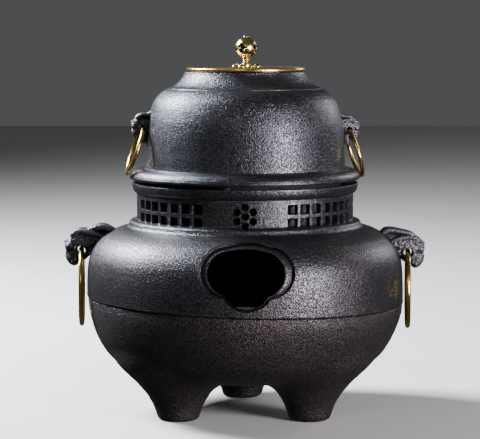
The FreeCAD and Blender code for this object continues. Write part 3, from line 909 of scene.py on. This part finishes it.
# ------------------------------------------------------------------ lower bowl with feet
BOWL_OUT = [(0, 38), (30, 38), (60, 38.2), (85, 39.8), (100, 42.4), (112, 45.9), (122.5, 50.2),
            (131.6, 55.4), (139, 61.8), (144.1, 68.9), (148.3, 76), (151.7, 83.3), (154.6, 91),
            (157.1, 99.5), (158.6, 107.5), (159.0, 115.9)]
BOWL_IN = [(150.8, 104), (148.8, 95), (145.3, 85), (139.8, 75.5), (132.5, 67), (123.5, 60),
           (113, 54.5), (101, 50), (86, 46.5), (70, 45.2), (60, 45), (0, 45)]
FOOT = [(0, -6), (15.0, -6), (16.9, 0.25), (18.9, 0.9), (20.6, 2.6), (21.4, 5), (22.7, 9), (24.9, 14.6), (28.0, 20.6), (31.8, 26.5), (36.6, 32.3),
        (41.6, 38), (48.2, 45), (54, 51.5), (57.2, 56.5), (58.6, 62), (58.8, 68), (0, 68)]
FOOT_AT = [(-66.2, -50.4), (64.2, -50.6), (-3.0, 84.0)]


def lower_bowl():
    outp = Profile(list(curve(BOWL_OUT, 4)) + [(0, 115.7)], (0, -10), (170, 135), 0.7)
    inp = Profile([(0, 140), (150.8, 140)] + BOWL_IN, (0, -10), (170, 145), 0.7)
    ft = Profile(FOOT, (0, -10), (260, 80), 0.7)
    tng = Profile([(150.8, 108), (154.6, 108), (154.6, 121.6), (150.8, 121.6)], (0, -10), (170, 135), 0.7)

    def f(P):
        r = np.hypot(P[:, 0], P[:, 1])
        z = P[:, 2]
        d = outp(r, z)
        for fx, fy in FOOT_AT:
            rr = np.hypot(P[:, 0] - fx, P[:, 1] - fy)
            d = smin(d, ft(rr, z), 11.0)
        d = np.minimum(d, tng(r, z))
        d = np.maximum(d, -inp(r, z))
        d = np.maximum(d, z - 121.6)
        d = np.maximum(d, -(z - 0.0))
        top = np.where(r > 154.65, z - 115.6, -1e3)
        return smax(d, top, 0.8)

    V, F = surface_net(f, (-163, -163, -1.5), (163, 163, 124), 1.7, 2)
    G = gradient(f, V, 0.5)
    G /= np.maximum(1e-6, np.linalg.norm(G, axis=1))[:, None]
    r = np.hypot(V[:, 0], V[:, 1]); z = V[:, 2]
    rin = inp(r, z)
    out = (rin > 2.0) | (z < 42)
    m = out * smoothstep(1.0, 6.0, z) * (1 - smoothstep(113.2, 114.6, z))
    d = np.zeros(len(V))
    k = m > 0
    d[k] = grain(V[k], 3.0, 6) * 0.07 * m[k] + perlin(V[k], 40, 15) * 0.4 * m[k]
    V = V + G * d[:, None]
    V = seam_shift(V, 116, 78)
    V[:, 0] += 0.25 * smoothstep(60, 110, z)
    V[:, 2] = np.maximum(V[:, 2], 0.0)
    o = make_mesh("brazier_bowl_cast", V, F, 50)
    place(o, "brazier", ["brazier_lower_bowl"], [M_BOWL, M_INNER])
    fi = F[:, 0]
    # inside faces get the near-black inner material as painted shade
    mi = (~out[fi]).astype(np.int32)
    if len(mi) == len(o.data.polygons):
        o.data.polygons.foreach_set("material_index", mi)
    o.data.update()
    return o


# ------------------------------------------------------------------ beast-head lugs


def strand(Q, pts, r0, r1, k=0.9, n=5):
    # tapered tube along a smooth line
    P = np.array(curve(pts, n))
    m = len(P) - 1
    d = None
    for i in range(m):
        t0, t1 = i / m, (i + 1) / m
        def rad(t):
            return (r0 + (r1 - r0) * t) * (0.62 + 0.38 * math.sin(math.pi * min(1.0, max(0.0, 0.12 + 0.76 * t))))
        e = s_cap(Q, P[i], P[i + 1], rad(t0), rad(t1))
        d = e if d is None else smin(d, e, k)
    return d


def head_field(P, s=1.0, beard=False, side="right"):
    # P: local (u outward, v sideways, w up) from the ring hole's centre, in mm of the large lug
    P = P / s
    A = np.abs(P[:, 1])
    Q = np.stack([P[:, 0], A, P[:, 2]], 1)   # both sides alike
    d = s_ell(Q, (-0.5, 0, 5.6), (14.6, 10.4, 12.2), 0.2)               # skull
    d = smin(d, s_cap(Q, (-24, 0, 10.5), (-3, 0, 6.5), 8.2, 10.0), 4)   # neck into the wall
    d = smin(d, s_cap(Q, (4, 0, 7.2), (10.2, 0, 5.8), 8.6, 6.6), 3.5)   # muzzle
    d = smin(d, s_ell(Q, (13.4, 0, 8.2), (4.0, 5.6, 3.2), 0.42), 0.9)   # nose
    d = smin(d, s_sphere(Q, (11.8, 4.2, 3.4), 4.7), 1.8)                # upper lip
    d = smin(d, s_cap(Q, (0, 0, -3.4), (8.0, 0, -6.0), 7.4, 6.8), 3.0)  # jaw
    d = smin(d, s_ell(Q, (9.6, 0, -7.4), (6.2, 7.6, 9.4), -0.43), 1.4)  # chin lobe
    mouth = s_cap(Q * np.array([1, 0.25, 1]), (19, 0, 0.1), (9.5, 0, -1.2), 0.95, 0.5)
    d = smax(d, -mouth, 0.8)
    d = smin(d, s_cap(Q, (14.3, 4.4, 0.8), (14.6, 4.4, -3.6), 1.5, 0.55), 0.6)    # fang
    d = smax(d, -s_sphere(Q, (16.6, 2.6, 8.6), 1.2), 0.6)               # nostril
    d = smin(d, s_cap(Q, (-29, 0, 13.6), (-5, 0, 14.4), 5.2, 6.4), 2.5)           # crown between the ridges
    if side == "right":
        # brow close to the face, then a clear groove, then the mane with its rounded end
        for v, r_ in ((0.0, 2.6), (4.6, 2.8), (8.4, 2.5)):
            d = smin(d, strand(Q, [(13.2, v * 0.62, 10.0), (9.4, v * 0.86, 13.0), (4.4, v, 15.2), (-3.6, v * 1.04, 15.2),
                                   (-11.6, v * 1.06, 13.4), (-18.6, v * 1.0, 10.2)], r_ * 0.85, r_), 1.6)
        for v, r_ in ((0.0, 2.9), (4.8, 2.8), (8.8, 2.4)):
            d = smin(d, strand(Q, [(6.0, v * 0.9, 17.2), (0.6, v, 19.6), (-7.6, v * 1.04, 21.0), (-15.4, v * 1.06, 22.4),
                                   (-22.0, v * 1.04, 22.2), (-26.2, v * 1.0, 19.4)], r_ * 0.62, r_ * 1.15), 0.5)
    else:
        # a smooth cap over the brow and a rounded horn rising behind it
        for v, r_ in ((0.0, 2.7), (4.6, 2.8), (8.6, 2.5)):
            d = smin(d, strand(Q, [(9.0, v * 0.84, 14.4), (6.4, v * 0.94, 17.2), (0.8, v, 19.2), (-7.2, v * 1.05, 18.6),
                                   (-14.6, v * 1.05, 16.6), (-23.5, v * 1.0, 13.4)], r_, r_), 1.0)
        for v, r_ in ((0.0, 3.7), (5.0, 3.5), (8.8, 2.9)):
            d = smin(d, strand(Q, [(-6.6, v * 0.9, 19.4), (-12.4, v, 22.0), (-18.8, v * 1.04, 23.4), (-25.2, v * 1.04, 22.6),
                                   (-33.0, v * 1.0, 18.6)], r_ * 0.7, r_ * 1.05), 0.5)
    d = smax(d, -s_sphere(Q, (7.4, 9.4, 10.6), 2.7), 1.0)               # eye socket
    d = smin(d, s_sphere(Q, (7.0, 8.0, 10.5), 2.5), 0.3)                # eyeball
    d = smin(d, s_torus_y(Q, (7.0, 8.9, 10.5), 2.9, 0.65), 0.5)         # lids
    d = smin(d, s_ell(Q, (-7.4, 9.0, 11.4), (4.2, 2.6, 2.8), 0.5), 0.9)           # ear
    d = smax(d, -s_ell(Q, (-7.2, 11.4, 11.6), (2.5, 1.3, 1.4), 0.5), 0.5)
    # low curls along the cheek
    for (u, v, w_, r_) in ((-8.8, 8.6, 5.6, 2.6), (-10.4, 8.4, 0.8, 2.5), (-8.6, 8.0, -3.2, 2.3), (-13.6, 8.2, 8.0, 2.6),
                           (-15.4, 7.9, 3.4, 2.4), (-18.4, 7.8, 8.0, 2.4), (4.6, 7.8, -9.8, 1.9), (8.2, 7.2, -11.8, 1.8)):
        d = smin(d, s_sphere(Q, (u, v, w_), r_), 1.5)
    if beard:
        d = smin(d, s_cap(Q, (-4, 0, -8), (-1.6, 0, -19.0), 7.0, 4.0), 2.5)
    d = smin(d, s_torus_y(Q, (0, 10.2, 0), 5.7, 1.2), 0.7)             # raised rim round the hole
    d = smax(d, -s_cyl_y(Q, (0, 0, 0), 4.45), 0.6)
    # room for the ring where it leaves the hole
    flare = s_cyl_y(Q, (0, 0, 0), 4.45 + np.clip(A - 10.4, 0, 3) * 0.5)
    d = np.maximum(d, -np.where(A > 10.4, flare, 1e3))
    return d * s


def make_lug(name, node, body, hx, hz, s, side, prof, turn=0.0, beard=False, sink=0.7):
    sg = 1 if side == "right" else -1

    def f(P):
        # P: u measured from the axis, v, z; the wall is a surface of revolution
        L = P - np.array([hx, 0, hz])
        d = head_field(L, s, beard, side)
        w_ = prof(np.hypot(P[:, 0], P[:, 1]), P[:, 2])
        return np.maximum(d, -(w_ + sink))

    lo = (hx - 37 * s, -14.5 * s, hz - (26 if beard else 20) * s)
    hi = (hx + 20 * s, 14.5 * s, hz + 29 * s)
    V, F = surface_net(f, lo, hi, (0.55) * (s if s < 1 else 1) , 2)
    G = gradient(f, V, 0.3)
    G /= np.maximum(1e-6, np.linalg.norm(G, axis=1))[:, None]
    hole = np.hypot(V[:, 0] - hx, V[:, 2] - hz) < 6.2 * s
    w_ = (V[:, 2] - hz) / s
    face = 1 - smoothstep(15.0, 18.0, w_ + 0.25 * np.clip(V[:, 0] - hx, -20, 0) / s)
    g = perlin(V, 2.4 * s, 31) * 0.55 + grain(V, 1.3 * s, 32) * 0.5 * face + perlin(V, 1.0 * s, 33) * 0.2
    V = V + G * (g * 0.5 * s * np.where(hole, 0.0, 1.0))[:, None]
    W = V.copy()
    if sg < 0:
        W[:, 0] *= -1
        F = F[:, ::-1]
    if turn:
        c, q = math.cos(math.radians(turn)), math.sin(math.radians(turn))
        x, y = W[:, 0].copy(), W[:, 1].copy()
        W[:, 0] = x * c - y * q
        W[:, 1] = x * q + y * c
    o = make_mesh(name, W, F)
    place(o, body, [node], [M_LUG])
    return o


# ------------------------------------------------------------------ brass rings


def make_ring(name, node, body, hx, hz, R, wire, off, lean, side, turn=0.0, twist=0.0):
    n, k = (160, 28)
    t = np.arange(n) * 2 * math.pi / n
    p = np.arange(k) * 2 * math.pi / k
    T, Pp = np.meshgrid(t, p, indexing="ij")
    wv = wire * (1.0 + 0.010 * np.sin(5 * T + 0.6) + 0.008 * np.sin(11 * T + 2.0))
    # soldered joint, barely visible
    wv = wv * (1 + 0.03 * np.exp(-((np.mod(T - 1.2 + math.pi, 2 * math.pi) - math.pi) / 0.03) ** 2))
    wv = np.minimum(wv, wire * 1.015)
    rad = R + wv * np.cos(Pp)
    X = wv * np.sin(Pp) + 0.12 * np.sin(2 * T + 0.4)
    Y = rad * np.sin(T)
    Z = off - R + rad * np.cos(T)
    V = np.stack([X, Y, Z], 2).reshape(-1, 3)
    i = np.repeat(np.arange(n), k); j = np.tile(np.arange(k), n)
    F = np.stack([i * k + j, ((i + 1) % n) * k + j, ((i + 1) % n) * k + (j + 1) % k, i * k + (j + 1) % k], 1)
    if twist:
        c, s_ = math.cos(math.radians(twist)), math.sin(math.radians(twist))
        x, y = V[:, 0].copy(), V[:, 1].copy()
        V[:, 0] = x * c - y * s_
        V[:, 1] = x * s_ + y * c
    c, s_ = math.cos(math.radians(lean)), math.sin(math.radians(lean))
    x, z = V[:, 0].copy(), V[:, 2].copy()
    V[:, 0] = x * c - z * s_
    V[:, 2] = x * s_ + z * c
    V += np.array([hx, 0, hz])
    if side == "left":
        V[:, 0] *= -1
    else:
        F = F[:, ::-1]
    if turn:
        ct, st = math.cos(math.radians(turn)), math.sin(math.radians(turn))
        x, y = V[:, 0].copy(), V[:, 1].copy()
        V[:, 0] = x * ct - y * st
        V[:, 1] = x * st + y * ct
    o = make_mesh(name, V, F)
    fix_normals(o)
    place(o, body, [node], [M_RING])
    return o


# ------------------------------------------------------------------ lid and knob


LID_DX = 1.0


def lid():
    top = [(1.6, 348.7), (14.5, 348.65), (40, 348.35), (54.9, 347.95), (55.6, 348.05), (56.2, 348.5), (57.2, 348.6)]
    rim = curve([(57.2, 348.6), (58.6, 348.5), (59.5, 347.9), (59.8, 346.7), (59.5, 345.5), (58.8, 344.85)], 5)
    low = [(58.8, 344.85), (54.6, 344.8), (54.5, 337.6), (54.2, 337.4), (49.6, 337.4), (49.2, 337.9), (48, 341.6), (1.6, 341.6)]
    st = 0.8
    t1, r1, l1 = resample(top, st), resample(rim, 0.5), resample(low, 2.0)
    rows = np.concatenate([t1, r1[1:], l1[1:]])[::-1]
    seg = 360
    V, F = lathe(rows, seg)
    r = np.hypot(V[:, 0], V[:, 1]); z = V[:, 2]
    k = (z > 347.8) & (r < 55)
    V[:, 2] += np.where(k, 0.03 * np.sin(r * 2 * math.pi / 1.7) - 0.05 + 0.04 * perlin(V, 2.0, 41) + 0.10 * perlin(V, 11, 42), 0)
    V[:, 0] += LID_DX
    o = make_mesh("lid_disc_turned", V, F, 40)
    place(o, "lid", ["lid_disc"], [M_LIDTOP, M_RIM])
    fix_normals(o)
    rr = rows[:, 0]; zz = rows[:, 1]
    mi = ((rr > 55.7) & (zz > 344.1)).astype(int)
    o.data.polygons.foreach_set("material_index", np.repeat(mi, seg).astype(np.int32))
    o.data.update()


def rosette():
    # eight plump petals, each with a shallow crease, round a low domed boss
    def f(P):
        r = np.hypot(P[:, 0], P[:, 1]); a = np.arctan2(P[:, 1], P[:, 0]) - math.radians(22.5)
        z = P[:, 2]
        q = np.abs(((a / (math.pi / 4) + 0.5) % 1.0) - 0.5) * (math.pi / 4)
        u = r * np.cos(q); v = r * np.sin(q)
        Q = np.stack([u, v, z], 1)
        d = s_ell(Q, (10.4, 0, 349.3), (4.6, 3.9, 3.1))
        d = smin(d, s_ell(P, (0, 0, 349.4), (8.2, 8.2, 3.4)), 0.5)
        d = smin(d, np.maximum(r - 4.0, np.abs(z - 351.6) - 1.4), 0.8)
        d = np.maximum(d, -(z - 348.75))
        return np.maximum(d, 1.65 - r)
    V, F = surface_net(f, (-15.8, -15.8, 348.0), (15.8, 15.8, 354.2), 0.3, 2)
    V[:, 0] += LID_DX
    o = make_mesh("knob_rosette_cast", V, F, 45)
    place(o, "lid", ["knob_rosette"], [M_KNOB])


def neck_and_bead():
    prof = curve([(1.65, 353.1), (2.5, 353.15), (3.1, 353.7), (3.35, 354.4), (3.0, 355.05), (2.6, 355.3), (3.0, 355.6), (3.4, 356.4), (3.1, 357.2), (2.4, 357.35), (1.65, 357.35)], 5)
    V, F = lathe(np.array(prof)[::-1], 64)
    V[:, 0] += LID_DX
    o = make_mesh("knob_neck_turned", V, F, 50)
    fix_normals(o)
    place(o, "lid", ["knob_neck"], [M_KNOB])
    prof = curve([(0.15, 379.0), (2.0, 379.0), (2.75, 379.15), (2.9, 379.5), (2.35, 380.15), (1.5, 380.75), (0.75, 381.1), (0.15, 381.2)], 5)
    V, F = disc_cap(np.array(prof), 64)
    V[:, 0] += LID_DX
    o = make_mesh("knob_finial_turned", V, F, 50)
    fix_normals(o)
    place(o, "lid", ["knob_finial"], [M_BEAD])


def ball():
    zc = 368.4
    # openings: azimuth of each hole; in front one sits left of centre and one at the right edge
    first = -116.0

    def f(P):
        L = P - np.array([0, 0, zc])
        R = np.linalg.norm(L, axis=1)
        r = np.hypot(L[:, 0], L[:, 1])
        d = np.abs(R - 9.9) - 0.95
        a = np.arctan2(L[:, 1], L[:, 0]) - math.radians(first)
        q = ((a / (math.pi / 2) + 0.5) % 1.0 - 0.5) * (math.pi / 2)
        u = 9.9 * q * r / np.maximum(R, 1e-6); w_ = 9.9 * np.arctan2(L[:, 2], np.maximum(r, 1e-6))
        au, aw = np.maximum(np.abs(u), 1e-6) / 4.6, np.maximum(np.abs(w_), 1e-6) / 5.4
        e = au ** 0.9 + aw ** 0.9
        hd = (e - 1.0) * 2.9
        d = smin(d, np.sqrt((R - 10.45) ** 2 + (np.clip(np.abs(hd - 0.7), 0, 99)) ** 2) - 0.5, 0.4)
        d = smax(d, -np.where(R > 5, hd, 1e3), 0.3)
        core = np.maximum(r - 3.2, np.abs(L[:, 2]) - 10.6)
        d = smin(d, core, 0.6)
        d = np.maximum(d, R - 11.0)
        d = np.maximum(d, 1.65 - r)
        d = np.maximum(d, -(P[:, 2] - 357.6))
        return np.maximum(d, P[:, 2] - 378.9)
    V, F = surface_net(f, (-11.6, -11.6, 357.0), (11.6, 11.6, 379.6), 0.28, 2)
    V[:, 0] += LID_DX
    o = make_mesh("knob_ball_pierced", V, F, 50)
    place(o, "lid", ["knob_ball"], [M_KNOB, M_INNER])
    # painted shade: faces deep inside the openings get the near-black inner material
    C = np.zeros(len(o.data.polygons) * 3)
    o.data.polygons.foreach_get("center", C)
    C = C.reshape(-1, 3) * (1000.0 if np.abs(C).max() < 5 else 1.0) - np.array([LID_DX, 0, zc])
    deep = (np.linalg.norm(C, axis=1) < 9.2) & (np.abs(C[:, 2]) < 7.5)
    o.data.polygons.foreach_set("material_index", deep.astype(np.int32))
    o.data.update()


import time
T0 = time.time()
kettle(); print("kettle", round(time.time() - T0, 1))
upper_shell(); print("shell", round(time.time() - T0, 1))
lower_bowl(); print("bowl", round(time.time() - T0, 1))
P_SH = Profile([(0, 100), (160, 100)] + sh_curve + [(109, 190), (109, 200), (0, 200)], (0, 90), (240, 260), 0.7)
P_KT = Profile([(0, 240), (101, 240), (101.0, 252), (100.8, 257), (100.3, 265.7), (99.8, 275.8), (99.1, 285.9),
                (97.7, 295.9), (95.4, 305.0), (93.1, 311.5), (90.3, 316.8), (0, 330)], (0, 230), (160, 340), 0.7)
make_lug("brazier_head_right", "brazier_lug_right", "brazier", 165.0, 162.2, 1.0, "right", P_SH)
make_lug("brazier_head_left", "brazier_lug_left", "brazier", 165.6, 164.6, 1.0, "left", P_SH)
make_lug("kettle_head_right", "kettle_lug_right", "kettle", 105.4, 285.2, 0.68, "right", P_KT, 7.5, True, 0.5)
make_lug("kettle_head_left", "kettle_lug_left", "kettle", 103.4, 288.6, 0.68, "left", P_KT, 7.5, True, 0.5)
print("lugs", round(time.time() - T0, 1))
make_ring("brazier_ring_right_wire", "brazier_ring_right", "brazier_ring_right", 165.0, 162.2, 38.0, 2.5, 0.8, 0, "right", 0.0, -3.1)
make_ring("brazier_ring_left_wire", "brazier_ring_left", "brazier_ring_left", 165.6, 164.6, 38.0, 2.5, 0.8, 0, "left", 0.0, -3.0)
make_ring("kettle_ring_right_wire", "kettle_ring_right", "kettle_ring_right", 105.4, 285.2, 24.5, 2.0, 0.7, 16.5, "right", 7.5)
make_ring("kettle_ring_left_wire", "kettle_ring_left", "kettle_ring_left", 103.4, 288.6, 24.5, 2.0, 0.7, 18.8, "left", 7.5)
lid(); rosette(); neck_and_bead(); ball()
print("all", round(time.time() - T0, 1))
